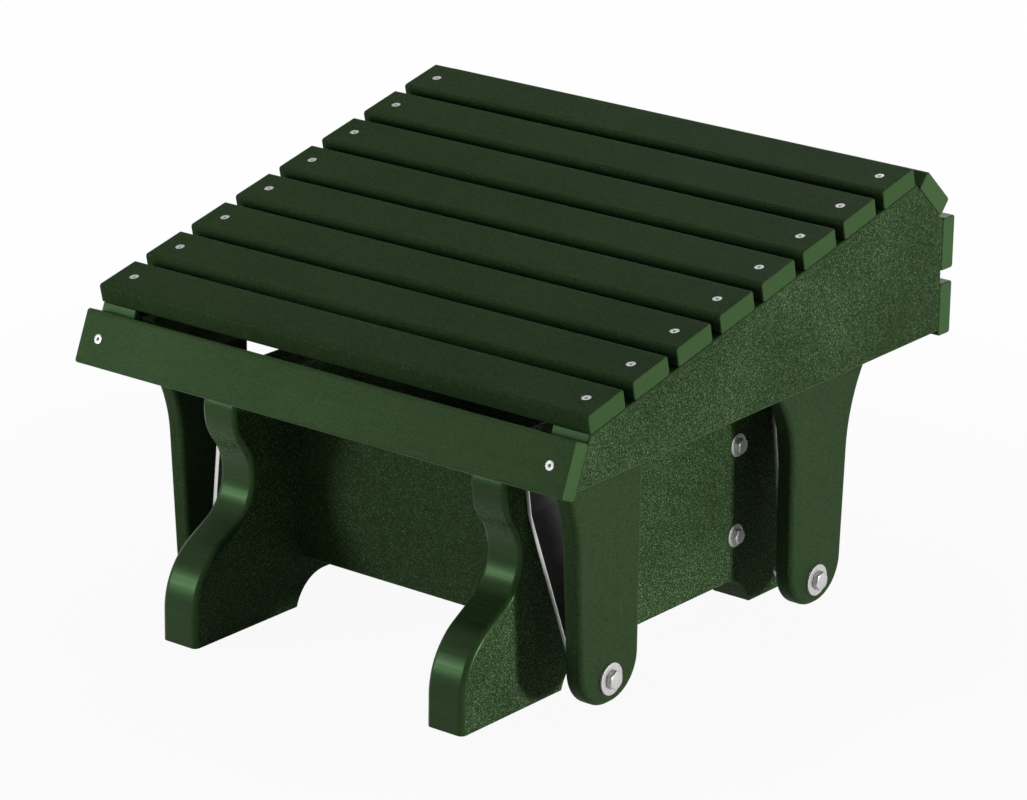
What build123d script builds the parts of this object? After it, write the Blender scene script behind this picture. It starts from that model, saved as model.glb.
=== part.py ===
from build123d import *
from math import atan2, cos, degrees, hypot, radians, sin, tan
import os

# Gliding ottoman: a slatted seat hung from a low fixed base by four swing links.
# Millimetres, +X to the right, +Y to the rear, +Z up, origin on the floor.

# slats
slat_length = 560.0
slat_width = 50.8
slat_thickness = 19.05
slat_edge_round = 3.0
slat_end_round = 1.2
slat_gap = 12.7
slat_count = 8
slat_overhang = 1.2
apron_drop = 7.7
back_slat_rise = 1.1

# seat side boards
side_thickness = 41.3
side_edge_round = 2.0
nose_y = -255.8
nose_z = 291.6
seat_incline = 13.0
seat_top_length = 497.0
crest_length = 64.04
crest_slope = 42.8
front_edge_length = 50.6
front_lean = 21.8
heel_height = 108.0

# slat screws
slat_screw_head_radius = 4.5
slat_screw_rim = 0.6
slat_screw_sink = 0.3
slat_screw_length = 45.0

# screws in general
screw_shank_radius = 2.1
screw_tip_length = 5.0
screw_socket_flats = 2.6
screw_socket_depth = 1.8

# leg boards, each edge straight with a slight taper, then flared under the seat
leg_thickness = 19.05
leg_edge_round = 5.0
leg_floor_gap = 8.0
leg_top_gap = 7.0
leg_end_radius = 39.0
front_leg_width = 83.8
front_leg_shift = 0.6
front_leg_taper_angle = 3.9
front_leg_flare_z = 165.0
front_leg_flare_radius = 140.0
front_leg_flare_angle = 42.0
rear_leg_width = 81.8
rear_leg_shift = 0.2
rear_leg_front_taper_angle = 1.2
rear_leg_front_flare_z = 158.0
rear_leg_front_flare_radius = 110.0
rear_leg_front_flare_angle = 43.0
rear_leg_rear_taper_angle = 2.3
rear_leg_rear_flare_z = 150.0
rear_leg_rear_flare_radius = 155.0
rear_leg_rear_flare_angle = 40.0

# leg screws
leg_screw_head_radius = 4.3
leg_screw_head_height = 2.8
leg_screw_crown = 1.2
leg_screw_length = 45.0
leg_screw_lift = 14.0
front_leg_screw_half_span = 32.0
front_leg_screw_rise = 17.0
rear_leg_screw_half_span = 40.0
rear_leg_screw_rise = 60.0

# base ends
base_thickness = 41.0
base_center_y = -11.5
base_half_length = 283.0
base_height = 240.0
base_edge_round = 5.5
base_top_corner = 30.0
neck_straight = 2.0
neck_radius = 51.2
neck_angle = 40.0
waist_radius = 45.0
shoulder_straight = 25.3
shoulder_radius = 70.0
shoulder_angle = 60.0
foot_length = 140.0
arch_height = 28.7
arch_radius = 40.0

# stretchers
stretcher_thickness = 38.1
stretcher_height = 139.7
stretcher_bottom_z = 47.5
stretcher_half_spacing = 116.8
stretcher_edge_round = 3.0

# coach screws that hold the stretchers
coach_shank_radius = 4.0
coach_length = 100.0
coach_tip_length = 7.0
coach_head_flats = 13.0
coach_head_height = 5.3
coach_washer_radius = 11.15
coach_washer_thickness = 1.6
coach_half_spacing = 44.45

# pivots: the links hang from the base ends and lean inward down to the legs
swing_center_y = -9.0
hanger_drop = 22.0
pivot_half_spacing = 157.7
pivot_z = 32.0
link_splay = 30.1
link_space = 43.65
rear_link_shift = 0.54
bolt_radius = 5.0
bolt_head_flats = 16.0
bolt_head_height = 5.6
bolt_end_chamfer = 0.8
big_washer_radius = 15.0
big_washer_thickness = 2.5
spacer_radius = 12.0
hanger_spacer_thickness = 1.0
pivot_spacer_thickness = 6.0
nut_flats = 16.0
nut_hex_height = 7.2
nut_collar_height = 2.4
nut_collar_wall = 1.9
bolt_stick_out = 1.6

# swing links and bushes
link_thickness = 4.5
link_half_width = 18.8
link_upper_flat = 33.0
link_lower_flat = 20.0
link_bend_radius = 8.0
bush_wall = 3.0
bush_length = 6.0

# clearances
fit = 0.05
washer_play = 0.3
rear_pivot_play = 0.67

slat_pitch = slat_width + slat_gap
side_outer_x = slat_length / 2
side_inner_x = side_outer_x - side_thickness
leg_inner_x = side_inner_x - leg_thickness
base_outer_x = leg_inner_x - link_space
base_inner_x = base_outer_x - base_thickness
hanger_z = base_height - hanger_drop
hanger_half_spacing = pivot_half_spacing + link_splay
slat_screw_x = side_outer_x - side_thickness / 2
hex_corner = 1 / cos(radians(30))


# ---- shared helpers ----

# point reached from another by going a distance at an angle from +Y towards +Z
def go(start, angle, distance):
    step_y = distance * cos(radians(angle))
    step_z = distance * sin(radians(angle))
    return (start[0] + step_y, start[1] + step_z)


# solid of revolution about Z from (radius, height) points
def turned(points):
    half = make_face(Polyline(points, close=True))
    return revolve(Plane.XZ * half, Axis.Z)


# place for hardware whose local +Z points along X, outward (1) or inward (-1)
def bolt_place(side, x, y, z, outward=1):
    return Location((side * x, y, z), (0, side * outward * 90, 0))


def washer(outer_radius, thickness, hole_radius):
    disc = Cylinder(outer_radius, thickness, align=(Align.CENTER, Align.CENTER, Align.MIN))
    hole = Cylinder(hole_radius, thickness, align=(Align.CENTER, Align.CENTER, Align.MIN))
    return disc - hole


# hexagonal head with its corners turned down, from z = 0 upward
def hex_head(flats, height):
    prism = extrude(RegularPolygon(flats / 2, 6, major_radius=False), height)
    corner_radius = flats / 2 * hex_corner
    drop = corner_radius - flats / 2
    envelope = turned([(0, 0), (corner_radius, 0), (corner_radius, height - drop), (flats / 2, height), (0, height)])
    return prism & envelope


# bolt along +Z: head below z = 0, shank from z = 0 to its length
def hex_bolt(length):
    head = Rot(X=180) * hex_head(bolt_head_flats, bolt_head_height)
    tip = bolt_radius - bolt_end_chamfer
    body = turned([(0, 0), (bolt_radius, 0), (bolt_radius, length - bolt_end_chamfer), (tip, length), (0, length)])
    return head + body


# lock nut standing on z = 0
def lock_nut():
    collar_radius = nut_flats / 2 - nut_collar_wall / 2
    height = nut_hex_height + nut_collar_height
    collar = Cylinder(collar_radius, height, align=(Align.CENTER, Align.CENTER, Align.MIN))
    collar = chamfer(collar.faces().sort_by(Axis.Z)[-1].edges(), nut_collar_wall / 2)
    body = hex_head(nut_flats, nut_hex_height) + collar
    return body - Cylinder(bolt_radius + fit, height, align=(Align.CENTER, Align.CENTER, Align.MIN))


def socket(top_z):
    recess = extrude(RegularPolygon(screw_socket_flats / 2, 6, major_radius=False), screw_socket_depth)
    return Pos(0, 0, top_z - screw_socket_depth) * recess


# ---- where the seat's outline runs ----

nose = (nose_y, nose_z)
peak = go(nose, seat_incline, seat_top_length)
heel_top = go(peak, -crest_slope, crest_length)
heel_bottom = go(heel_top, -90, heel_height)
front_bottom = go(nose, 270 - front_lean, front_edge_length)


# height of the side board's bottom edge at a given y
def side_bottom_z(y):
    slope = (heel_bottom[1] - front_bottom[1]) / (heel_bottom[0] - front_bottom[0])
    return front_bottom[1] + slope * (y - front_bottom[0])


# height of the side board's sloping top edge at a given y
def side_top_z(y):
    return nose_z + (y - nose_y) * tan(radians(seat_incline))


# every slat-like board: name, lower edge on the side board, direction it lies in
def board_places():
    places = []
    for number in range(slat_count):
        start = go(nose, seat_incline, number * slat_pitch - slat_overhang)
        places.append(("slat_" + str(number + 1), start, seat_incline))
    crest_start = go(peak, -crest_slope, (crest_length - slat_width) / 2)
    places.append(("slat_crest", crest_start, -crest_slope))
    back_start = (heel_top[0], heel_top[1] + back_slat_rise)
    places.append(("slat_back_upper", back_start, -90))
    places.append(("slat_back_lower", go(back_start, -90, slat_pitch), -90))
    apron_angle = 90 - front_lean
    apron_start = go(nose, apron_angle, -apron_drop - slat_width)
    places.append(("apron", apron_start, apron_angle))
    return places


def board_location(start, angle):
    return Location((0, start[0], start[1]), (angle, 0, 0))


# ---- seat boards and their screws ----

def slat_screw():
    top = slat_thickness - slat_screw_sink
    rim_z = slat_thickness - slat_screw_rim
    neck_z = rim_z - (slat_screw_head_radius - screw_shank_radius)
    end_z = slat_thickness - slat_screw_length
    outline = [(0, top), (slat_screw_head_radius, top), (slat_screw_head_radius, rim_z)]
    outline += [(screw_shank_radius, neck_z), (screw_shank_radius, end_z + screw_tip_length), (0, end_z)]
    return turned(outline) - socket(top)


def slat_screw_hole():
    rim_z = slat_thickness - slat_screw_rim
    neck_z = rim_z - (slat_screw_head_radius - screw_shank_radius)
    wide = slat_screw_head_radius + fit
    narrow = screw_shank_radius + fit
    outline = [(0, slat_thickness), (wide, slat_thickness), (wide, rim_z), (narrow, neck_z), (narrow, 0), (0, 0)]
    return turned(outline)


# slat lying on z = 0 with its near edge on y = 0
def slat_board():
    section = RectangleRounded(slat_width, slat_thickness, slat_edge_round)
    bar = extrude(Plane.YZ * section, slat_length / 2, both=True)
    ends = bar.faces().sort_by(Axis.X)
    bar = fillet(ends[0].edges() + ends[-1].edges(), slat_end_round)
    bar = Pos(0, slat_width / 2, slat_thickness / 2) * bar
    for side in (-1, 1):
        bar -= Pos(side * slat_screw_x, slat_width / 2, 0) * slat_screw_hole()
    return bar


def screw_spots(side):
    spots = []
    for name, start, angle in board_places():
        spots.append(board_location(start, angle) * Pos(side * slat_screw_x, slat_width / 2, 0))
    return spots


# pilot hole a screw needs in the board below its clamped one
def pilot(depth):
    return Pos(0, 0, -depth) * Cylinder(
        screw_shank_radius + fit, depth + fit, align=(Align.CENTER, Align.CENTER, Align.MIN)
    )


def seat_side(side):
    face = make_face(Polyline([nose, peak, heel_top, heel_bottom, front_bottom], close=True))
    board = extrude(Plane.YZ * face, side_thickness)
    flats = board.faces().filter_by(Axis.X)
    board = fillet(flats.edges(), side_edge_round)
    inner_edge = side_inner_x if side > 0 else -side_outer_x
    board = Pos(inner_edge, 0, 0) * board
    for spot in screw_spots(side):
        board -= spot * pilot(slat_screw_length - slat_thickness)
    for y, z in leg_screw_points():
        board -= bolt_place(side, side_inner_x, y, z, -1) * pilot(leg_screw_length - leg_thickness)
    return board


# ---- legs ----

front_pivot_y = swing_center_y - pivot_half_spacing
rear_pivot_y = swing_center_y + pivot_half_spacing
front_leg_center_y = front_pivot_y + front_leg_shift
rear_leg_center_y = rear_pivot_y + rear_leg_shift


def leg_screw_points():
    points = []
    front = (front_leg_center_y, front_leg_screw_half_span, front_leg_screw_rise)
    rear = (rear_leg_center_y, rear_leg_screw_half_span, rear_leg_screw_rise)
    for center, half_span, rise in (front, rear):
        for y in (center - half_span, center + half_span):
            low = side_bottom_z(y) + leg_screw_lift
            points.append((y, low))
            points.append((y, low + rise))
    return points


def leg_screw():
    top = leg_screw_head_height
    edge = leg_screw_head_height - leg_screw_crown
    crown = leg_screw_head_radius - leg_screw_crown
    end_z = -leg_screw_length
    outline = [(0, top), (crown, top), (leg_screw_head_radius, edge), (leg_screw_head_radius, 0)]
    outline += [(screw_shank_radius, 0), (screw_shank_radius, end_z + screw_tip_length), (0, end_z)]
    return turned(outline) - socket(top)


def leg_top_z(y):
    return side_top_z(y) - leg_top_gap


# edge of a leg from its sole up to the seat, front (-1) or rear (1): corner, tapered shin, flare, rise
def leg_edge(sole_end, forward, taper, flare_z, flare_radius, flare_angle):
    corner = JernArc(sole_end, (forward, 0), leg_end_radius, forward * (90 - taper))
    shin_lean = forward * (flare_z - (corner @ 1).Y) * tan(radians(taper))
    shin = Line(corner @ 1, ((corner @ 1).X + shin_lean, flare_z))
    flare = JernArc(shin @ 1, shin % 1, flare_radius, -forward * (flare_angle - taper))
    rise = Line(flare @ 1, ((flare @ 1).X, leg_top_z((flare @ 1).X)))
    return [corner, shin, flare, rise]


def sole_reach(taper):
    return leg_end_radius * cos(radians(taper))


# tapered and flared in front, straight behind, with a top parallel to the seat
def front_leg_outline():
    taper = front_leg_taper_angle
    sole_front = front_leg_center_y - front_leg_width / 2 + sole_reach(taper)
    sole_rear = front_leg_center_y + front_leg_width / 2 - leg_end_radius
    sole = Line((sole_front, leg_floor_gap), (sole_rear, leg_floor_gap))
    front = leg_edge(sole @ 0, -1, taper, front_leg_flare_z, front_leg_flare_radius, front_leg_flare_angle)
    corner = JernArc(sole @ 1, (1, 0), leg_end_radius, 90)
    back = Line(corner @ 1, ((corner @ 1).X, leg_top_z((corner @ 1).X)))
    top = Line(front[-1] @ 1, back @ 1)
    return make_face([sole, corner, back, top] + front)


# tapered and flared on both edges, with a top parallel to the seat
def rear_leg_outline():
    front_taper = rear_leg_front_taper_angle
    rear_taper = rear_leg_rear_taper_angle
    sole_front = rear_leg_center_y - rear_leg_width / 2 + sole_reach(front_taper)
    sole_rear = rear_leg_center_y + rear_leg_width / 2 - sole_reach(rear_taper)
    sole = Line((sole_front, leg_floor_gap), (sole_rear, leg_floor_gap))
    front_flare = (rear_leg_front_flare_z, rear_leg_front_flare_radius, rear_leg_front_flare_angle)
    rear_flare = (rear_leg_rear_flare_z, rear_leg_rear_flare_radius, rear_leg_rear_flare_angle)
    front = leg_edge(sole @ 0, -1, front_taper, *front_flare)
    back = leg_edge(sole @ 1, 1, rear_taper, *rear_flare)
    top = Line(front[-1] @ 1, back[-1] @ 1)
    return make_face([sole, top] + front + back)


def leg(side, outline, pivot_y):
    board = extrude(Plane.YZ * outline, leg_thickness)
    board = fillet(board.faces().filter_by(Axis.X).edges(), leg_edge_round)
    inner_edge = leg_inner_x if side > 0 else -side_inner_x
    board = Pos(inner_edge, 0, 0) * board
    bore = Cylinder(bolt_radius + fit, 2 * leg_thickness)
    board -= bolt_place(side, leg_inner_x, pivot_y, pivot_z) * bore
    for y, z in leg_screw_points():
        board -= bolt_place(side, side_inner_x, y, z) * pilot(leg_thickness)
    return board


# ---- base ----

# half outline from the middle of the arch out to the toe and up the double curve to the top, then mirrored
def base_end_outline():
    arch_reach = (arch_radius**2 - (arch_radius - arch_height) ** 2) ** 0.5
    foot_inner = base_half_length - foot_length
    arch_angle = degrees(atan2(arch_reach, arch_radius - arch_height))
    curve_rise = (shoulder_radius + waist_radius) * sin(radians(shoulder_angle))
    curve_rise += shoulder_straight * cos(radians(shoulder_angle))
    curve_rise += 2 * neck_radius * sin(radians(neck_angle))
    toe_height = base_height - base_top_corner - neck_straight - curve_rise
    ceiling = Line((0, arch_height), (foot_inner - arch_reach, arch_height))
    haunch = JernArc(ceiling @ 1, (1, 0), arch_radius, -arch_angle)
    foot = Line(haunch @ 1, (base_half_length, 0))
    toe = Line(foot @ 1, (base_half_length, toe_height))
    shoulder = JernArc(toe @ 1, (0, 1), shoulder_radius, shoulder_angle)
    slope_end = go(((shoulder @ 1).X, (shoulder @ 1).Y), 90 + shoulder_angle, shoulder_straight)
    slope = Line(shoulder @ 1, slope_end)
    waist = JernArc(slope @ 1, slope % 1, waist_radius, -shoulder_angle)
    neck_in = JernArc(waist @ 1, (0, 1), neck_radius, -neck_angle)
    neck_out = JernArc(neck_in @ 1, neck_in % 1, neck_radius, neck_angle)
    neck_half = (neck_out @ 1).X
    neck = Line(neck_out @ 1, (neck_half, base_height - base_top_corner))
    corner = JernArc(neck @ 1, (0, 1), base_top_corner, 90)
    top = Line(corner @ 1, (0, base_height))
    half = [ceiling, haunch, foot, toe, shoulder, slope, waist, neck_in, neck_out, neck, corner, top]
    mirrored = [mirror(edge, about=Plane.YZ) for edge in half]
    return make_face(half + mirrored)


def coach_points():
    points = []
    middle_z = stretcher_bottom_z + stretcher_height / 2
    for y_sign in (-1, 1):
        for z_sign in (-1, 1):
            y = base_center_y + y_sign * stretcher_half_spacing
            points.append((y, middle_z + z_sign * coach_half_spacing))
    return points


def hanger_points():
    front = swing_center_y - hanger_half_spacing
    rear = swing_center_y + hanger_half_spacing - rear_link_shift
    return [(front, hanger_z), (rear, hanger_z)]


def pivot_points():
    return [(front_pivot_y, pivot_z), (rear_pivot_y, pivot_z)]


def base_end(side):
    board = extrude(Plane.YZ * base_end_outline(), base_thickness)
    rim = board.faces().filter_by(Axis.X).edges()
    on_floor = rim.filter_by(lambda edge: edge.bounding_box().max.Z < fit)
    arch = rim.filter_by(lambda edge: edge.bounding_box().max.Z < arch_height + fit)
    arch = arch.filter_by(lambda edge: abs(edge.center().Y) < base_half_length - foot_length)
    swept = [edge for edge in rim if edge not in on_floor and edge not in arch]
    board = fillet(swept, base_edge_round)
    inner_edge = base_inner_x if side > 0 else -base_outer_x
    board = Pos(inner_edge, base_center_y, 0) * board
    for y, z in hanger_points():
        board -= bolt_place(side, base_inner_x, y, z) * Cylinder(bolt_radius + fit, 3 * base_thickness)
    for y, z in coach_points():
        board -= bolt_place(side, base_inner_x, y, z) * Cylinder(coach_shank_radius + fit, 3 * base_thickness)
    return board


def stretcher(y_sign):
    y = base_center_y + y_sign * stretcher_half_spacing
    middle_z = stretcher_bottom_z + stretcher_height / 2
    section = RectangleRounded(stretcher_thickness, stretcher_height, stretcher_edge_round)
    board = extrude(Plane.YZ * section, base_inner_x, both=True)
    board = Pos(0, y, middle_z) * board
    depth = coach_length - base_thickness
    for side in (-1, 1):
        for z_sign in (-1, 1):
            hole = Cylinder(coach_shank_radius + fit, 2 * depth)
            board -= bolt_place(side, base_inner_x, y, middle_z + z_sign * coach_half_spacing) * hole
    return board


def coach_screw():
    end_z = -coach_length
    outline = [(0, 0), (coach_shank_radius, 0), (coach_shank_radius, end_z + coach_tip_length), (0, end_z)]
    lift = coach_washer_thickness
    shank = turned([(0, lift), (coach_shank_radius, lift)] + outline[1:])
    return shank + Pos(0, 0, lift) * hex_head(coach_head_flats, coach_head_height)


# ---- links ----

# stack on each pivot, as distances from the middle of the ottoman
hanger_bush_x = base_outer_x + hanger_spacer_thickness + washer_play
hanger_washer_x = hanger_bush_x + bush_length + washer_play
pivot_bush_x = leg_inner_x - pivot_spacer_thickness - washer_play - bush_length
pivot_washer_x = pivot_bush_x - washer_play
bush_radius = bolt_radius + fit + bush_wall
link_offset = pivot_bush_x - hanger_bush_x
link_drop = hanger_z - pivot_z
link_length = hypot(link_drop, link_splay)


# flat bar seen on edge: straight at each pivot, sloping outward between
def link_side_profile():
    bend_1 = link_upper_flat
    bend_2 = link_length - link_lower_flat
    slope = atan2(link_offset, bend_2 - bend_1)
    miter = link_thickness / 2 * tan(slope / 2)
    half = link_thickness / 2
    far = link_length + link_half_width
    top = [(-link_half_width, half), (bend_1 - miter, half), (bend_2 - miter, link_offset + half)]
    low = [(bend_2 + miter, link_offset - half), (bend_1 + miter, -half), (-link_half_width, -half)]
    ends = [(far, link_offset + half), (far, link_offset - half)]
    face = make_face(Polyline(top + ends + low, close=True))
    inner_bends = [top[1], low[0]]
    outer_bends = [top[2], low[1]]
    face = fillet(corners_at(face, inner_bends), link_bend_radius)
    return fillet(corners_at(face, outer_bends), link_bend_radius + link_thickness)


def corners_at(face, points):
    found = []
    for vertex in face.vertices():
        for point in points:
            if hypot(vertex.X - point[0], vertex.Y - point[1]) < fit:
                found.append(vertex)
    return found


def link_place(side, y_sign):
    shift = rear_link_shift if y_sign > 0 else 0
    y = swing_center_y + y_sign * hanger_half_spacing - shift
    x = side * (hanger_bush_x + bush_length / 2)
    down = (0, -y_sign * link_splay, -link_drop)
    return Plane(origin=(x, y, hanger_z), x_dir=down, z_dir=(side, 0, 0))


def link_bar(side, y_sign):
    bar = extrude(Plane.XZ * link_side_profile(), link_half_width, both=True)
    reach = link_offset + link_thickness
    outline = Pos(link_length / 2, 0) * SlotCenterToCenter(link_length, 2 * link_half_width)
    bar &= extrude(outline, reach, both=True)
    for along in (0, link_length):
        bar -= Pos(along, 0, 0) * Cylinder(bush_radius + fit, 2 * reach)
    return link_place(side, y_sign) * bar


def link_bushes(side, y_sign):
    place = link_place(side, y_sign)
    play = rear_pivot_play if y_sign > 0 else fit
    upper = washer(bush_radius, bush_length, bolt_radius + fit)
    lower = washer(bush_radius, bush_length, bolt_radius + play)
    upper = place * Pos(0, 0, -bush_length / 2) * upper
    lower = place * Pos(link_length, 0, link_offset - bush_length / 2) * lower
    return [upper, lower]


# ---- hardware groups ----

def around(points, make):
    return [make(side, y, z) for side in (-1, 1) for y, z in points]


def hanger_bolts():
    head_x = base_inner_x - big_washer_thickness
    nut_x = hanger_washer_x + big_washer_thickness
    length = nut_x + nut_hex_height + nut_collar_height + bolt_stick_out - head_x
    return around(hanger_points(), lambda side, y, z: bolt_place(side, head_x, y, z) * hex_bolt(length))


def hanger_washers():
    big = washer(big_washer_radius, big_washer_thickness, bolt_radius + fit)
    small = washer(spacer_radius, hanger_spacer_thickness, bolt_radius + fit)
    head_x = base_inner_x - big_washer_thickness
    rings = around(hanger_points(), lambda side, y, z: bolt_place(side, head_x, y, z) * big)
    rings += around(hanger_points(), lambda side, y, z: bolt_place(side, base_outer_x, y, z) * small)
    rings += around(hanger_points(), lambda side, y, z: bolt_place(side, hanger_washer_x, y, z) * big)
    return rings


def hanger_nuts():
    nut_x = hanger_washer_x + big_washer_thickness
    return around(hanger_points(), lambda side, y, z: bolt_place(side, nut_x, y, z) * lock_nut())


def pivot_bolts():
    head_x = side_inner_x + big_washer_thickness
    nut_x = pivot_washer_x - big_washer_thickness
    length = head_x - nut_x + nut_hex_height + nut_collar_height + bolt_stick_out
    return around(pivot_points(), lambda side, y, z: bolt_place(side, head_x, y, z, -1) * hex_bolt(length))


def pivot_washers():
    big = washer(big_washer_radius, big_washer_thickness, bolt_radius + fit)
    small = washer(spacer_radius, pivot_spacer_thickness, bolt_radius + fit)
    rings = around(pivot_points(), lambda side, y, z: bolt_place(side, side_inner_x, y, z) * big)
    rings += around(pivot_points(), lambda side, y, z: bolt_place(side, leg_inner_x, y, z, -1) * small)
    rings += around(pivot_points(), lambda side, y, z: bolt_place(side, pivot_washer_x, y, z, -1) * big)
    return rings


def pivot_nuts():
    nut_x = pivot_washer_x - big_washer_thickness
    return around(pivot_points(), lambda side, y, z: bolt_place(side, nut_x, y, z, -1) * lock_nut())


def coach_screws():
    return around(coach_points(), lambda side, y, z: bolt_place(side, base_outer_x, y, z) * coach_screw())


def coach_washers():
    ring = washer(coach_washer_radius, coach_washer_thickness, coach_shank_radius + fit)
    return around(coach_points(), lambda side, y, z: bolt_place(side, base_outer_x, y, z) * ring)


def leg_screws():
    screw = leg_screw()
    return around(leg_screw_points(), lambda side, y, z: bolt_place(side, leg_inner_x, y, z, -1) * screw)


def slat_screws():
    screw = slat_screw()
    return [spot * screw for side in (-1, 1) for spot in screw_spots(side)]


# ---- write every piece ----

def save(name, shapes):
    solids = []
    for shape in shapes:
        solids += shape.solids()
    piece = solids[0] if len(solids) == 1 else Compound(children=solids)
    export_step(piece, "parts/" + name + ".step")


os.makedirs("parts", exist_ok=True)

slat = slat_board()
for name, start, angle in board_places():
    save(name, [board_location(start, angle) * slat])
save("slat_screws", slat_screws())

for side, side_name in ((-1, "left"), (1, "right")):
    save("seat_side_" + side_name, [seat_side(side)])
    save("leg_front_" + side_name, [leg(side, front_leg_outline(), front_pivot_y)])
    save("leg_rear_" + side_name, [leg(side, rear_leg_outline(), rear_pivot_y)])
    save("base_end_" + side_name, [base_end(side)])
    for y_sign, end_name in ((-1, "front"), (1, "rear")):
        save("link_" + end_name + "_" + side_name, [link_bar(side, y_sign)])
        save("bushes_" + end_name + "_" + side_name, link_bushes(side, y_sign))

for y_sign, end_name in ((-1, "front"), (1, "rear")):
    save("stretcher_" + end_name, [stretcher(y_sign)])

save("leg_screws", leg_screws())
save("stretcher_screws", coach_screws())
save("stretcher_washers", coach_washers())
save("hanger_bolts", hanger_bolts())
save("hanger_washers", hanger_washers())
save("hanger_nuts", hanger_nuts())
save("pivot_bolts", pivot_bolts())
save("pivot_washers", pivot_washers())
save("pivot_nuts", pivot_nuts())
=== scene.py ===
import math
import bpy
from mathutils import Matrix, Vector


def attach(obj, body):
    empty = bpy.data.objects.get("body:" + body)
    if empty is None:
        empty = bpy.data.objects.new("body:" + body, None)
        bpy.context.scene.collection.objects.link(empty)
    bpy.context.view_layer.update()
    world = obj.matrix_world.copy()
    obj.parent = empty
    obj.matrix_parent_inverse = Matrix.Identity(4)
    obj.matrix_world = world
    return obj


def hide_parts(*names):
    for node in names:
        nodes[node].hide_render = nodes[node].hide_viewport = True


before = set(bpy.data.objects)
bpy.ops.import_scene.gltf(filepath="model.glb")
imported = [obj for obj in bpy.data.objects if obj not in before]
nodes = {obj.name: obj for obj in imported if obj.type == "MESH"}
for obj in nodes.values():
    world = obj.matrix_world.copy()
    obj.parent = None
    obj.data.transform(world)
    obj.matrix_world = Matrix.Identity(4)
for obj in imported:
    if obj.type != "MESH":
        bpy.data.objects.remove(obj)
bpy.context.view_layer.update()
mm = 0.001
print("frame loaded:", len(nodes), "nodes")


def selectNone():
    if bpy.context.object and bpy.context.object.mode != "OBJECT":
        bpy.ops.object.mode_set(mode="OBJECT")
    bpy.ops.object.select_all(action="DESELECT")


def pick(piece):
    selectNone()
    piece.select_set(True)
    bpy.context.view_layer.objects.active = piece


def applyAll(piece):
    pick(piece)
    for modifier in list(piece.modifiers):
        bpy.ops.object.modifier_apply(modifier=modifier.name)


def bevelEdges(piece, width, segments=2, angle=30):
    soft = piece.modifiers.new("easedEdges", "BEVEL")
    soft.width = width
    soft.segments = segments
    soft.limit_method = "ANGLE"
    soft.angle_limit = math.radians(angle)
    applyAll(piece)


def smoothBy(piece, degrees):
    pick(piece)
    bpy.ops.object.shade_smooth_by_angle(angle=math.radians(degrees))


def cutWith(piece, tool, operation):
    cut = piece.modifiers.new("cut", "BOOLEAN")
    cut.operation = operation
    cut.solver = "EXACT"
    cut.object = tool
    applyAll(piece)
    bpy.data.objects.remove(tool)


# rings of (radius, height) in mm, each extruded and scaled from the one before
def stackRings(name, rings, sides=48, closed=False):
    selectNone()
    radius, height = rings[0]
    bpy.ops.mesh.primitive_circle_add(vertices=sides, radius=radius * mm, location=(0, 0, height * mm),
                                      fill_type="NOTHING" if closed else "NGON")
    piece = bpy.context.object
    piece.name = name
    bpy.ops.object.transform_apply(location=True, rotation=False, scale=False)
    bpy.ops.object.mode_set(mode="EDIT")
    bpy.ops.mesh.select_all(action="SELECT")
    for nextRadius, nextHeight in rings[1:]:
        rise = (0, 0, (nextHeight - height) * mm)
        if closed:
            bpy.ops.mesh.extrude_edges_move(TRANSFORM_OT_translate={"value": rise})
        else:
            bpy.ops.mesh.extrude_region_move(TRANSFORM_OT_translate={"value": rise})
        grow = nextRadius / radius
        bpy.ops.transform.resize(value=(grow, grow, 1), center_override=(0, 0, 0))
        radius, height = nextRadius, nextHeight
    bpy.ops.mesh.select_all(action="SELECT")
    bpy.ops.mesh.remove_doubles(threshold=0.005 * mm)
    bpy.ops.mesh.normals_make_consistent(inside=False)
    bpy.ops.object.mode_set(mode="OBJECT")
    return piece


def joinAll(name, pieces):
    selectNone()
    for piece in pieces:
        piece.select_set(True)
    bpy.context.view_layer.objects.active = pieces[0]
    if len(pieces) > 1:
        bpy.ops.object.join()
    group = bpy.context.object
    group.name = name
    group.data.name = name
    return group


# copies of one model, each with its own mesh, put in their places and joined at the origin
def setOut(name, model, places):
    copies = []
    for place in places:
        copy = model.copy()
        copy.data = model.data.copy()
        copy.data.transform(place)
        bpy.context.collection.objects.link(copy)
        copies.append(copy)
    bpy.data.objects.remove(model)
    return joinAll(name, copies)


def finishPiece(piece, body, material, replaced):
    piece.data.materials.clear()
    piece.data.materials.append(material)
    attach(piece, body)
    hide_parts(replaced)


# a shader number or colour on its way between two nodes
class Wire:
    def __init__(self, tree, socket):
        self.tree = tree
        self.socket = socket

    def maths(self, kind, other, flip=False):
        node = self.tree.nodes.new("ShaderNodeMath")
        node.operation = kind
        first, second = (other, self) if flip else (self, other)
        for slot, value in ((0, first), (1, second)):
            if isinstance(value, Wire):
                self.tree.links.new(value.socket, node.inputs[slot])
            else:
                node.inputs[slot].default_value = value
        return Wire(self.tree, node.outputs[0])

    def __add__(self, other):
        return self.maths("ADD", other)

    def __radd__(self, other):
        return self.maths("ADD", other, True)

    def __sub__(self, other):
        return self.maths("SUBTRACT", other)

    def __rsub__(self, other):
        return self.maths("SUBTRACT", other, True)

    def __mul__(self, other):
        return self.maths("MULTIPLY", other)

    def __rmul__(self, other):
        return self.maths("MULTIPLY", other, True)


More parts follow.
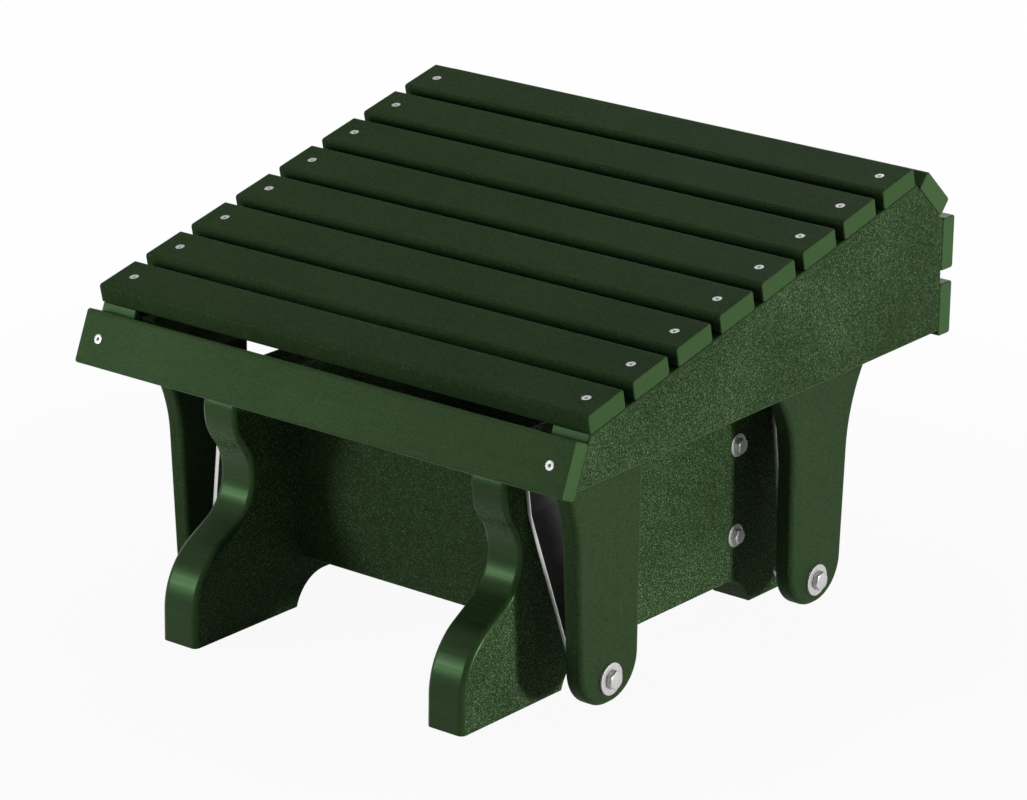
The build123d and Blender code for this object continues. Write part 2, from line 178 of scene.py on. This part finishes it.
class Finish:
    def __init__(self, owner):
        self.owner = owner
        owner.use_nodes = True
        self.tree = owner.node_tree
        self.tree.nodes.clear()

    # any node: its type, its settings, then the values or wires of its sockets, where n0 is the first one
    def node(self, kind, settings=None, output=0, **sockets):
        node = self.tree.nodes.new("ShaderNode" + kind)
        for setting, value in (settings or {}).items():
            setattr(node, setting, value)
        for key, value in sockets.items():
            slot = int(key[1:]) if key[0] == "n" and key[1:].isdigit() else key.replace("_", " ")
            if isinstance(value, Wire):
                self.tree.links.new(value.socket, node.inputs[slot])
            else:
                node.inputs[slot].default_value = value
        return Wire(self.tree, node.outputs[output]) if node.outputs else None

    # noise fixed to the piece, drawn out along an axis by size and laid along a sloping board by turn
    def noise(self, scale, size=(1, 1, 1), turn=0, detail=2.0, rough=0.5):
        coords = self.node("TexCoord", output="Object")
        turned = (math.radians(turn), 0, 0)
        laid = self.node("Mapping", {"vector_type": "POINT"}, Vector=coords, Rotation=turned, Scale=size)
        return self.node("TexNoise", Vector=laid, Scale=scale, Detail=detail, Roughness=rough)

    # a number stretched so that low becomes toLow and high becomes toHigh
    def range(self, value, low, high, toLow=0.0, toHigh=1.0):
        return self.node("MapRange", {"clamp": True}, Value=value, From_Min=low, From_Max=high,
                         To_Min=toLow, To_Max=toHigh)

    def blend(self, factor, first, second):
        return self.node("Mix", {"data_type": "RGBA"}, output=2, n0=factor, n6=first, n7=second)

    # how squarely the surface lies across a direction: 0 to 1, or -1 to 1 where oneWay
    # tells its two sides apart
    def facing(self, direction, tilt=0, oneWay=False):
        normal = self.node("TexCoord", output="Normal")
        turned = (math.radians(-tilt), 0, 0)
        level = self.node("Mapping", {"vector_type": "VECTOR"}, Vector=normal, Rotation=turned)
        dot = self.node("VectorMath", {"operation": "DOT_PRODUCT"}, output="Value", n0=level, n1=direction)
        return dot if oneWay else self.node("Math", {"operation": "ABSOLUTE"}, n0=dot)

    # the larger of two numbers
    def most(self, first, second):
        return self.node("Math", {"operation": "MAXIMUM"}, n0=first, n1=second)

    # 1 for what the camera sees, also in a mirror or through glass
    def seenByEye(self):
        kinds = ("Camera", "Glossy", "Transmission")
        rays = [self.node("LightPath", output="Is " + kind + " Ray") for kind in kinds]
        return self.node("Math", {"operation": "MINIMUM"}, n0=rays[0] + rays[1] + rays[2], n1=1.0)

    def close(self, surface, kind="OutputMaterial"):
        self.node(kind, output=None, Surface=surface)
        return self.owner


def grey(level):
    return (level, level, level, 1)


def shade(colour, gain):
    return (colour[0] * gain, colour[1] * gain, colour[2] * gain, 1)


lumber = {
    "deep": (0.022, 0.044, 0.016),
    "body": (0.035, 0.067, 0.025),
    "light": (0.056, 0.106, 0.042),
    "cutEnd": (0.057, 0.113, 0.042),
    "fleck": (0.23, 0.36, 0.18),
    "glossTint": (0.42, 1.0, 0.36, 1),
    "streaks": 270,              # pattern scales, from long streaks to fine grain
    "clouds": 7,
    "mottles": 140,
    "grain": 900,
}
smooth = {                       # how much each mark shows on a smooth board, and how deep the surface is
    "streakShare": 0.35,
    "mottleShare": 0.3,
    "paleEdgeShare": 0.25,
    "kerf": 500,
    "kerfShare": 0.45,
    "sawnRoughness": 0.14,
    "bump": 0.18,
    "depth": 0.35,
}


def lumberShader(look, base, rough, bump, gloss):
    return look.node("BsdfPrincipled", Base_Color=base, Roughness=rough, Normal=bump,
                     Specular_IOR_Level=gloss, Specular_Tint=lumber["glossTint"])


# smooth boards: faint lengthwise streaks, paler sawn ends, and edges a little paler where they round over
def boardLook(name, length, tilt=0, gain=1.0, ends=True, gloss=0.10, roughness=0.52, specks=0.4):
    look = Finish(bpy.data.materials.new(name))
    stretch = {"x": (0.05, 1, 1), "z": (1, 1, 0.05)}[length]
    along = {"x": (1, 0, 0), "z": (0, 0, 1)}[length]
    deep = shade(lumber["deep"], gain)
    light = shade(lumber["light"], gain)
    streaks = look.noise(lumber["streaks"], stretch, -tilt, detail=4, rough=0.6)
    clouds = look.noise(lumber["clouds"], detail=3)
    grain = look.noise(lumber["grain"], detail=2, rough=0.6)
    mottles = look.noise(lumber["mottles"], (0.6, 1, 1), detail=4, rough=0.7)

    cloudy = look.range(clouds, 0.35, 0.65)
    base = look.blend(cloudy, shade(lumber["deep"], gain * 1.25), shade(lumber["body"], gain))
    base = look.blend(look.range(streaks, 0.52, 0.78) * smooth["streakShare"], base, light)
    base = look.blend(look.range(mottles, 0.54, 0.42) * smooth["mottleShare"], base, deep)
    pits = (1 - look.range(grain, 0.30, 0.48)) * specks
    base = look.blend(pits, base, shade(lumber["deep"], gain * 0.8))
    flecks = look.range(grain, 0.54, 0.70) * specks
    base = look.blend(flecks, base, shade(lumber["fleck"], gain * 0.7))

    sides = [look.facing(direction, tilt) for direction in ((1, 0, 0), (0, 1, 0), (0, 0, 1))]
    flatness = look.most(look.most(sides[0], sides[1]), sides[2])
    # paler where the edges round over, broken up by the grain
    paleEdges = look.range(flatness, 0.97, 0.80) * look.range(grain, 0.42, 0.62)
    base = look.blend(paleEdges * smooth["paleEdgeShare"], base, light)
    rough = look.range(streaks, 0.3, 0.7, roughness - 0.05, roughness + 0.08)
    relief = streaks * 0.35 + grain * 0.65
    if ends:
        sawn = look.range(look.facing(along, tilt), 0.90, 0.99)
        kerf = look.noise(smooth["kerf"], (0.3, 0.12, 1.0), detail=3)
        sawMarks = look.range(kerf, 0.35, 0.65) * smooth["kerfShare"]
        cut = look.blend(sawMarks, shade(lumber["cutEnd"], 1), shade(lumber["light"], 1))
        base = look.blend(sawn, base, cut)
        rough = rough + sawn * smooth["sawnRoughness"]
        relief = relief + sawn * kerf * 0.8
    bump = look.node("Bump", Strength=smooth["bump"], Distance=smooth["depth"] * mm, Height=relief)
    return look.close(lumberShader(look, base, rough, bump, gloss))


pebble = {
    "scale": 780,
    "finer": 1900,
    "low": 0.42,                 # the pattern's heights at which the colour runs from deep to light
    "high": 0.62,
    "fleckAt": 0.565,            # and at which the pale flecks start, and how fast they come in
    "fleckSpan": 0.10,
    "faceRoughness": 0.66,
    "faceGloss": 0.05,
    "faceBump": 0.4,
    "edgeRoughness": 0.27,
    "edgeGloss": 0.23,
    "edgeBump": 0.12,
}


# boards with a pebbled face and smooth, satin routed edges
def pebbleLook(name, gain=1.0):
    look = Finish(bpy.data.materials.new(name))
    coarse = look.noise(pebble["scale"], detail=2, rough=0.7)
    fine = look.noise(pebble["finer"], detail=1, rough=0.6)
    clouds = look.noise(lumber["clouds"], detail=3)
    streaks = look.noise(lumber["streaks"], (0.05, 1, 1), detail=4, rough=0.6)

    mottled = look.range(clouds * 0.6 + coarse * 0.4, 0.38, 0.62)
    # The routed edges take a colour a little darker than the boards' (0.8 and 0.9): painted shade for the
    # darker low front of the routed band.
    plain = look.blend(mottled, shade(lumber["deep"], 0.8), shade(lumber["body"], 0.9))
    plain = look.blend(look.range(streaks, 0.5, 0.8) * 0.25, plain, shade(lumber["light"], 0.9))
    satin = pebble["edgeRoughness"]
    rough = look.range(streaks, 0.3, 0.7, satin - 0.03, satin + 0.06)
    relief = streaks * 0.6 + coarse * 0.4
    edgeBump = look.node("Bump", Strength=pebble["edgeBump"], Distance=0.3 * mm, Height=relief)
    edge = lumberShader(look, plain, rough, edgeBump, pebble["edgeGloss"])

    pebbles = coarse * 0.62 + fine * 0.38
    cloudy = pebbles + look.range(clouds, 0.3, 0.7, -0.02, 0.03)
    speckles = look.range(cloudy, pebble["low"], pebble["high"])
    speckled = look.blend(speckles, shade(lumber["deep"], 0.55), shade(lumber["light"], 0.85 * gain))
    flecks = look.range(cloudy, pebble["fleckAt"], pebble["fleckAt"] + pebble["fleckSpan"])
    speckled = look.blend(flecks, speckled, shade(lumber["fleck"], gain))
    faceBump = look.node("Bump", Strength=pebble["faceBump"], Distance=0.4 * mm, Height=pebbles)
    face = lumberShader(look, speckled, pebble["faceRoughness"], faceBump, pebble["faceGloss"])

    broad = look.range(look.facing((1, 0, 0)), 0.95, 0.99)
    under = look.range(look.facing((0, 0, -1), oneWay=True), 0.2, 0.6)
    return look.close(look.node("MixShader", n0=look.most(broad, under), n1=edge, n2=face))


# mm and degrees; the nose (y, z) is the low front end of the side boards' sloped top
boards = {
    "nose": (-255.8, 291.6),
    "incline": 13.0,
    "overhang": 1.2,
    "width": 50.8,
    "thick": 19.05,
    "pitch": 63.5,
    "count": 8,
    "topLength": 497.0,
    "crestSlope": 42.8,
    "crestLength": 64.04,
    "backRise": 1.1,
    "frontLean": 21.8,
    "apronDrop": 7.7,
}

# The gains lighten or darken copies of one green lumber colour by how light falls on each part: painted
# light on the apron (1.25) and on the base ends' speckle (1.3), painted shade on the slats (0.92), the
# stretchers (0.95) and the leg boards (0.80).
slatLook = boardLook("greenSlat", "x", boards["incline"], 0.92, gloss=0.02, roughness=0.62, specks=0.35)
crestLook = boardLook("greenCrestSlat", "x", -boards["crestSlope"])
levelLook = boardLook("greenBackSlat", "x")
apronLook = boardLook("greenApron", "x", 90 - boards["frontLean"], 1.25, specks=0.25)
legLook = boardLook("greenLegBoard", "z", gain=0.80, ends=False, gloss=0.06)
sideLook = pebbleLook("greenSeatSide")
baseLook = pebbleLook("greenBaseEnd", 1.3)
stretcherLook = boardLook("greenStretcher", "x", gain=0.95, gloss=0.06, specks=0.8)
nodeLooks = {
    "slat_crest": crestLook,
    "slat_back_upper": levelLook,
    "slat_back_lower": levelLook,
    "apron": apronLook,
    "stretcher_front": stretcherLook,
    "stretcher_rear": stretcherLook,
}
nodeLooks.update({"slat_" + str(number): slatLook for number in range(1, boards["count"] + 1)})
for side in ("left", "right"):
    nodeLooks.update({"seat_side_" + side: sideLook, "base_end_" + side: baseLook,
                      "leg_front_" + side: legLook, "leg_rear_" + side: legLook})


metal = {
    "bright": (0.56, 0.56, 0.55, 1),
    "dull": (0.44, 0.44, 0.44, 1),
    "linkFace": (0.15, 0.14, 0.155, 1),
    "linkStain": (0.10, 0.094, 0.105, 1),
    "linkEdge": (0.70, 0.70, 0.69, 1),
}


def metalShader(look, base, metallic, rough, bump):
    return look.node("BsdfPrincipled", Base_Color=base, Metallic=metallic, Roughness=rough, Normal=bump)


def fastenerLook():
    look = Finish(bpy.data.materials.new("zincFastener"))
    mottled = look.noise(260, detail=4, rough=0.65)
    fine = look.noise(1500)
    base = look.blend(look.range(mottled, 0.35, 0.68), metal["bright"], metal["dull"])
    rough = look.range(mottled, 0.3, 0.7, 0.42, 0.58)
    bump = look.node("Bump", Strength=0.15, Distance=0.1 * mm, Height=fine + mottled)
    return look.close(metalShader(look, base, 0.8, rough, bump))


# the bar's dull, dark mill faces, with bright sheared edges
def linkLook():
    look = Finish(bpy.data.materials.new("satinLinkSteel"))
    brushed = look.noise(700, (1, 1, 0.03), detail=3, rough=0.6)
    mottled = look.noise(60, detail=4, rough=0.6)
    face = look.range(look.facing((1, 0, 0)), 0.80, 0.92)
    base = look.blend(look.range(mottled, 0.35, 0.7), metal["linkFace"], metal["linkStain"])
    base = look.blend(face, metal["linkEdge"], base)
    rough = look.range(brushed, 0.3, 0.7, 0.38, 0.52)
    bump = look.node("Bump", Strength=0.12, Distance=0.1 * mm, Height=brushed)
    clean = look.range(face, 0.0, 1.0, 1.0, 0.3)
    return look.close(metalShader(look, base, clean, rough, bump))


# the leg screws are painted dark green: painted shade for the dark shadow that their heads sit in on the
# legs' inner faces
def shadedScrewLook():
    look = Finish(bpy.data.materials.new("screwPaintedShade"))
    fine = look.noise(1200)
    base = look.blend(look.range(fine, 0.4, 0.6), shade(lumber["deep"], 0.7), shade(lumber["body"], 0.7))
    rough = look.range(fine, 0.3, 0.7, 0.40, 0.55)
    bump = look.node("Bump", Strength=0.1, Distance=0.1 * mm, Height=fine)
    return look.close(lumberShader(look, base, rough, bump, 0.1))


nylonColours = {"pale": (0.62, 0.60, 0.54, 1), "dark": (0.55, 0.53, 0.47, 1)}


def bushLook():
    look = Finish(bpy.data.materials.new("nylonBush"))
    fine = look.noise(900)
    base = look.blend(look.range(fine, 0.4, 0.6), nylonColours["pale"], nylonColours["dark"])
    rough = look.range(fine, 0.3, 0.7, 0.42, 0.55)
    bump = look.node("Bump", Strength=0.1, Distance=0.1 * mm, Height=fine)
    return look.close(look.node("BsdfPrincipled", Base_Color=base, Roughness=rough, Normal=bump))


zinc = fastenerLook()
linkSteel = linkLook()
nylon = bushLook()
nodeLooks["leg_screws"] = shadedScrewLook()
for end in ("front", "rear"):
    for side in ("left", "right"):
        nodeLooks["bushes_" + end + "_" + side] = nylon
for nodeName, look in nodeLooks.items():
    nodes[nodeName].data.materials.clear()
    nodes[nodeName].data.materials.append(look)
print("boards and plain parts finished:", len(nodeLooks))


# mm in the object's own frame; x values are for the right side
bigBolt = {"radius": 5.0, "flats": 16.0, "head": 5.6, "thread": 14.0, "proud": 1.6}
bigWasher = {"outer": 15.0, "bore": 5.05, "thick": 2.5, "spacerOuter": 12.0}
lockNut = {"flats": 16.0, "hex": 7.2, "collar": 2.4, "wall": 0.95, "ringGap": 0.6}
screwThread = {"pitch": 1.0, "root": 0.62, "crest": 0.05, "lead": 1.2, "tip": 0.75}
hanger = {
    "y": (-196.8, 178.26),
    "z": (218.0,),
    "headX": 135.0,
    "washerX": 183.6,
    "spacerX": 176.0,
    "spacer": 1.0,
}
pivot = {
    "y": (-166.7, 148.7),
    "z": (32.0,),
    "headX": 238.7,
    "washerX": 207.05,
    "spacerX": 219.65,
    "spacer": 6.0,
}
coach = {
    "y": (-128.3, 105.3),
    "z": (72.9, 161.8),
    "headX": 176.0,
    "length": 60.0,
    "thread": 6.0,
    "radius": 4.0,
    "flats": 13.0,
    "head": 5.3,
    "outer": 11.15,
    "bore": 4.05,
    "thick": 1.6,
}
spins = [8, 21, 33, 47, 14, 52, 3, 28]   # degrees that each head or nut was left turned by


def spots(place):
    return [(side, y, z) for side in (-1, 1) for y in place["y"] for z in place["z"]]


# a spot of such a set, put at its distance from the middle of the ottoman
def spotAt(x, point):
    side, y, z = point
    return side, x, y, z


# a model's own +Z laid along X, outward or inward
def across(side, x, y, z, outward=1, spin=0):
    turn = Matrix.Rotation(math.radians(90 * side * outward), 4, "Y")
    roll = Matrix.Rotation(math.radians(spin), 4, "Z")
    return Matrix.Translation((side * x * mm, y * mm, z * mm)) @ turn @ roll


# a hexagon whose corners a round cap trims off at the top
def hexHead(name, flats, height, bottom=0.0):
    corner = flats / 2 / math.cos(math.radians(30))
    top = bottom + height
    prism = stackRings(name, [(corner, bottom), (corner, top)], sides=6)
    drop = (corner - flats / 2) * 0.75
    wide, crown = corner * 1.01, flats / 2 * 0.94
    cap = stackRings("cap", [(wide, bottom - 0.01), (wide, top - drop), (crown, top + 0.01)], sides=64)
    cutWith(prism, cap, "INTERSECT")
    bevelEdges(prism, 0.22 * mm, 2, 20)
    return prism


def washerRing(outer, bore, thick):
    corners = [(bore, 0), (outer, 0), (outer, thick), (bore, thick), (bore, 0)]
    ring = stackRings("ring", corners, 64, True)
    bevelEdges(ring, 0.28 * mm, 3, 40)
    smoothBy(ring, 35)
    return ring


# head and its washer face below z = 0, then the shank with its last turns of thread
def boltModel(spec, length):
    head = hexHead("head", spec["flats"], spec["head"] - 0.4, 0.4)
    head.data.transform(Matrix.Rotation(math.pi, 4, "X"))
    washerFace = spec["flats"] * 0.47
    boss = stackRings("boss", [(washerFace, -0.45), (washerFace, 0)], 48)
    radius, height = spec["radius"], length - spec["thread"]
    root, crest = radius - screwThread["root"], radius - screwThread["crest"]
    rings = [(radius - 0.02, -0.2), (radius - 0.02, height)]
    while height < length - screwThread["lead"]:
        rings += [(root, height + 0.4), (root, height + 0.6), (crest, height + screwThread["pitch"])]
        height += screwThread["pitch"]
    shank = stackRings("shank", rings + [(radius - screwThread["tip"], length)], 32)
    bolt = joinAll("bolt", [head, boss, shank])
    smoothBy(bolt, 30)
    return bolt


# a lock nut: the hexagon, bored, and the round collar that holds its locking ring
def nutModel():
    hexPart = hexHead("hexPart", lockNut["flats"], lockNut["hex"])
    bore = bigWasher["bore"]
    cutWith(hexPart, stackRings("bore", [(bore, -1), (bore, 12)], 48), "DIFFERENCE")
    low, top = lockNut["hex"] - 0.1, lockNut["hex"] + lockNut["collar"]
    wall = lockNut["flats"] / 2 - lockNut["wall"]
    inner = bigBolt["radius"] + lockNut["ringGap"]
    rings = [(inner, low), (wall, low), (wall, top - 0.9), (wall - 0.35, top - 0.3), (wall - 1.0, top),
             (inner + 0.5, top - 0.15), (inner, top - 0.5), (inner, low)]
    nut = joinAll("nut", [hexPart, stackRings("collar", rings, 48, True)])
    smoothBy(nut, 35)
    return nut


# a set of four bolts with head washers, spacers, nut washers and lock nuts
def boltUp(name, place, body, outward, group):
    thick, bore = bigWasher["thick"], bigWasher["bore"]
    headX = place["headX"] - outward * thick
    nutX = place["washerX"] + outward * thick
    length = abs(nutX - headX) + lockNut["hex"] + lockNut["collar"] + bigBolt["proud"]
    points = spots(place)

    places = [across(*spotAt(headX, point), outward, spins[i + 1 + outward])
              for i, point in enumerate(points)]
    bolts = setOut(name + "Bolts", boltModel(bigBolt, length), places)
    finishPiece(bolts, body, zinc, group + "_bolts")

    places = [across(*spotAt(nutX, point), outward, spins[i + 3]) for i, point in enumerate(points)]
    nuts = setOut(name + "Nuts", nutModel(), places)
    finishPiece(nuts, body, zinc, group + "_nuts")

    places = [across(*spotAt(place["headX"], point), -outward) for point in points]
    places += [across(*spotAt(place["washerX"], point), outward) for point in points]
    rings = setOut("rings", washerRing(bigWasher["outer"], bore, thick), places)
    places = [across(*spotAt(place["spacerX"], point), outward) for point in points]
    spacers = setOut("spacers", washerRing(bigWasher["spacerOuter"], bore, place["spacer"]), places)
    finishPiece(joinAll(name + "Washers", [rings, spacers]), body, zinc, group + "_washers")


boltUp("hanger", hanger, "base", 1, "hanger")
boltUp("pivot", pivot, "seat", -1, "pivot")

headX = coach["headX"] + coach["thick"]
places = [across(*spotAt(headX, point), -1, spins[i]) for i, point in enumerate(spots(coach))]
coachScrews = setOut("coachScrews", boltModel(coach, coach["length"]), places)
finishPiece(coachScrews, "base", zinc, "stretcher_screws")
places = [across(*spotAt(coach["headX"], point)) for point in spots(coach)]
coachWashers = setOut("coachWashers", washerRing(coach["outer"], coach["bore"], coach["thick"]), places)
finishPiece(coachWashers, "base", zinc, "stretcher_washers")
print("bolts, nuts and washers set out")


slatScrew = {
    "x": 259.35,
    "head": 4.5,
    "shank": 2.1,
    "sunk": 0.3,
    "rim": 0.6,
    "length": 45.0,
    "point": 5.0,
    "socket": 1.75,
    "socketDeep": 2.6,
    "turn": 17,                  # degrees that each screw was left turned from the last
}

def goFrom(start, angle, distance):
    heading = math.radians(angle)
    return (start[0] + distance * math.cos(heading), start[1] + distance * math.sin(heading))


# where each board's lower edge starts, and the angle that it lies at
def boardStarts():
    nose, incline, slope = boards["nose"], boards["incline"], boards["crestSlope"]
    starts = [(goFrom(nose, incline, number * boards["pitch"] - boards["overhang"]), incline)
              for number in range(boards["count"])]
    peak = goFrom(nose, incline, boards["topLength"])
    starts.append((goFrom(peak, -slope, (boards["crestLength"] - boards["width"]) / 2), -slope))
    heel = goFrom(peak, -slope, boards["crestLength"])
    back = (heel[0], heel[1] + boards["backRise"])
    starts += [(back, -90), (goFrom(back, -90, boards["pitch"]), -90)]
    lean = 90 - boards["frontLean"]
    starts.append((goFrom(nose, lean, -boards["apronDrop"] - boards["width"]), lean))
    return starts


def screwModel():
    top = boards["thick"] - slatScrew["sunk"]
    rim = boards["thick"] - slatScrew["rim"]
    tip = boards["thick"] - slatScrew["length"]
    head, shank, socket = slatScrew["head"], slatScrew["shank"], slatScrew["socket"]
    rings = [(0.05, tip), (shank, tip + slatScrew["point"])]
    rings += [(shank, rim - head + shank), (head, rim), (head, top)]
    screw = stackRings("screw", rings, 32)
    deep = top - slatScrew["socketDeep"]
    rings = [(socket * 0.82, deep), (socket * 0.9, top - 0.35), (socket * 1.25, top + 0.05)]
    cutWith(screw, stackRings("socket", rings, 6), "DIFFERENCE")
    bevelEdges(screw, 0.12 * mm, 2, 35)
    smoothBy(screw, 30)
    return screw


places = []
for (y, z), angle in boardStarts():
    lie = Matrix.Translation((0, y * mm, z * mm)) @ Matrix.Rotation(math.radians(angle), 4, "X")
    for side in (-1, 1):
        spin = Matrix.Rotation(math.radians(slatScrew["turn"] * len(places)), 4, "Z")
        middle = Matrix.Translation((side * slatScrew["x"] * mm, boards["width"] / 2 * mm, 0))
        places.append(lie @ middle @ spin)
finishPiece(setOut("slatScrews", screwModel(), places), "seat", zinc, "slat_screws")
print("screws set out")


link = {
    "halfWidth": 18.8,
    "thick": 4.5,
    "upperFlat": 33.0,
    "lowerFlat": 20.0,
    "bend": 3.0,                 # half the length of each bend
    "hole": 8.1,
    "offset": 30.05,
    "midX": 180.3,
    "splay": 30.1,
    "drop": 186.0,
}


# a flat bar with round ends, cut across at its two bends and set outward between them
def linkModel():
    length = math.hypot(link["drop"], link["splay"])
    selectNone()
    radius, depth = link["halfWidth"] * mm, link["thick"] * mm
    bpy.ops.mesh.primitive_cylinder_add(vertices=64, radius=radius, depth=depth)
    bar = bpy.context.object

    # half of the disc moved along, which leaves a round end at each pivot
    bpy.ops.object.mode_set(mode="EDIT")
    bpy.ops.mesh.select_mode(type="VERT")
    bpy.ops.mesh.select_all(action="DESELECT")
    bpy.ops.object.mode_set(mode="OBJECT")
    for vertex in bar.data.vertices:
        vertex.select = vertex.co.x > 0.01 * mm
    bpy.ops.object.mode_set(mode="EDIT")
    bpy.ops.transform.translate(value=(length * mm, 0, 0))

    bends = (link["upperFlat"], length - link["lowerFlat"])
    bend = link["bend"]
    slope = link["offset"] / (bends[1] - bends[0])
    for center in bends:
        for step in range(-4, 5):
            bpy.ops.mesh.select_all(action="SELECT")
            bpy.ops.mesh.bisect(plane_co=((center + step * bend / 4) * mm, 0, 0), plane_no=(1, 0, 0))
    bpy.ops.object.mode_set(mode="OBJECT")

    # outward from the first bend to the second, with a small turn at every cut
    for vertex in bar.data.vertices:
        along = vertex.co.x / mm
        rise = 0
        for center, sign in zip(bends, (1, -1)):
            turned = max(0.0, min(1.0, (along - center + bend) / (2 * bend)))
            rise += sign * (bend * turned ** 2 + max(0.0, along - center - bend))
        vertex.co.z += rise * slope * mm

    for center, height in ((0, 0), (length, link["offset"])):
        hole = stackRings("hole", [(link["hole"], height - 9), (link["hole"], height + 9)], 48)
        hole.data.transform(Matrix.Translation((center * mm, 0, 0)))
        cutWith(bar, hole, "DIFFERENCE")
    bevelEdges(bar, 0.5 * mm, 3, 50)
    smoothBy(bar, 35)
    return bar


# the bar's length laid down the link and its thickness along X
def linkPlace(side, front):
    lean = link["splay"] if front else -link["splay"]
    down = Vector((0, lean, -link["drop"])).normalized()
    out = Vector((side, 0, 0))
    turn = Matrix((down, out.cross(down), out)).transposed().to_4x4()
    y = hanger["y"][0 if front else 1]
    return Matrix.Translation((side * link["midX"] * mm, y * mm, hanger["z"][0] * mm)) @ turn


for end in ("front", "rear"):
    for side, sideName in ((-1, "left"), (1, "right")):
        label = "link_" + end + "_" + sideName
        piece = setOut("bar_" + label, linkModel(), [linkPlace(side, end == "front")])
        finishPiece(piece, label, linkSteel, label)
print("links hung")


studio = {
    "floorColour": (0.65, 0.65, 0.64, 1),
    "floorPatch": (0.68, 0.68, 0.67, 1),
    "floorSize": 30,
    "whiteNear": 0.94,
    "whiteFar": 0.985,
    "nearReach": 0.45,
    "farReach": 1.1,
    "worldLevel": 0.08,
    "ceiling": 0.75,
    "aim": (0, 0, 0.2),
}
lamps = {                        # place, watts and size: low key on the right, low soft box on the left
    "keyLamp": ((3.56, 0.50, 0.42), 80, 0.5),
    "fillLamp": ((-1.00, -1.50, 0.55), 10.8, 0.6),
    "topLamp": ((-0.3, 0.2, 3.0), 16, 1.6),
    "rimLamp": ((-0.9, 2.6, 1.5), 30, 1.4),
}
view = {                         # solved from the slat edges in the photograph
    "at": (2.457701, -3.136797, 1.562647),
    "turn": (71.0334512, -0.8087972, 38.4041035),
    "lens": 159.912,
}


# a matte floor that keeps the shadow, mixed with plain white for the eye
def makeFloor():
    selectNone()
    bpy.ops.mesh.primitive_plane_add(size=studio["floorSize"], location=(0, 0, 0))
    floor = bpy.context.object
    floor.name = "studioFloor"
    look = Finish(bpy.data.materials.new("paleFloor"))
    soft = look.noise(3)
    colour = look.blend(look.range(soft, 0.3, 0.7), studio["floorColour"], studio["floorPatch"])
    matte = look.node("BsdfDiffuse", Color=colour)
    white = look.node("Emission", Color=grey(1.0), Strength=1.0)
    coords = look.node("TexCoord", output="Object")
    reach = look.node("VectorMath", {"operation": "LENGTH"}, output="Value", n0=coords)
    near, far = studio["nearReach"], studio["farReach"]
    backdrop = look.range(reach, near, far, studio["whiteNear"], studio["whiteFar"])
    surface = look.node("MixShader", n0=look.seenByEye() * backdrop, n1=matte, n2=white)
    floor.data.materials.append(look.close(surface))


def makeLamp(name, at, power, size):
    selectNone()
    bpy.ops.object.light_add(type="AREA", location=at)
    lamp = bpy.context.object
    lamp.name = name
    lamp.data.shape = "DISK"
    lamp.data.size = size
    lamp.data.energy = power
    lamp.rotation_euler = (Vector(studio["aim"]) - Vector(at)).to_track_quat("-Z", "Y").to_euler()


# a plain level for the light, and a pale wall below a dimmer ceiling for the eye and for reflections
def makeWorld():
    world = bpy.data.worlds.new("softWorld")
    sky = Finish(world)
    height = sky.node("SeparateXYZ", output=2, Vector=sky.node("TexCoord", output="Generated"))
    dim = sky.range(height, 0.05, 0.5)
    room = sky.node("Background", Color=sky.blend(dim, grey(1.0), grey(studio["ceiling"])), Strength=1.0)
    light = sky.node("Background", Color=grey(1.0), Strength=studio["worldLevel"])
    sky.close(sky.node("MixShader", n0=sky.seenByEye(), n1=light, n2=room), "OutputWorld")
    bpy.context.scene.world = world


def makeCamera():
    selectNone()
    bpy.ops.object.camera_add(location=view["at"], rotation=[math.radians(a) for a in view["turn"]])
    camera = bpy.context.object
    camera.name = "viewCamera"
    camera.data.sensor_fit = "HORIZONTAL"
    camera.data.sensor_width = 36
    camera.data.lens = view["lens"]
    camera.data.clip_end = 60
    bpy.context.scene.camera = camera


makeFloor()
for name, (at, power, size) in lamps.items():
    makeLamp(name, at, power, size)
makeWorld()
makeCamera()
bpy.context.scene.view_settings.view_transform = "Standard"
print("stage lit")
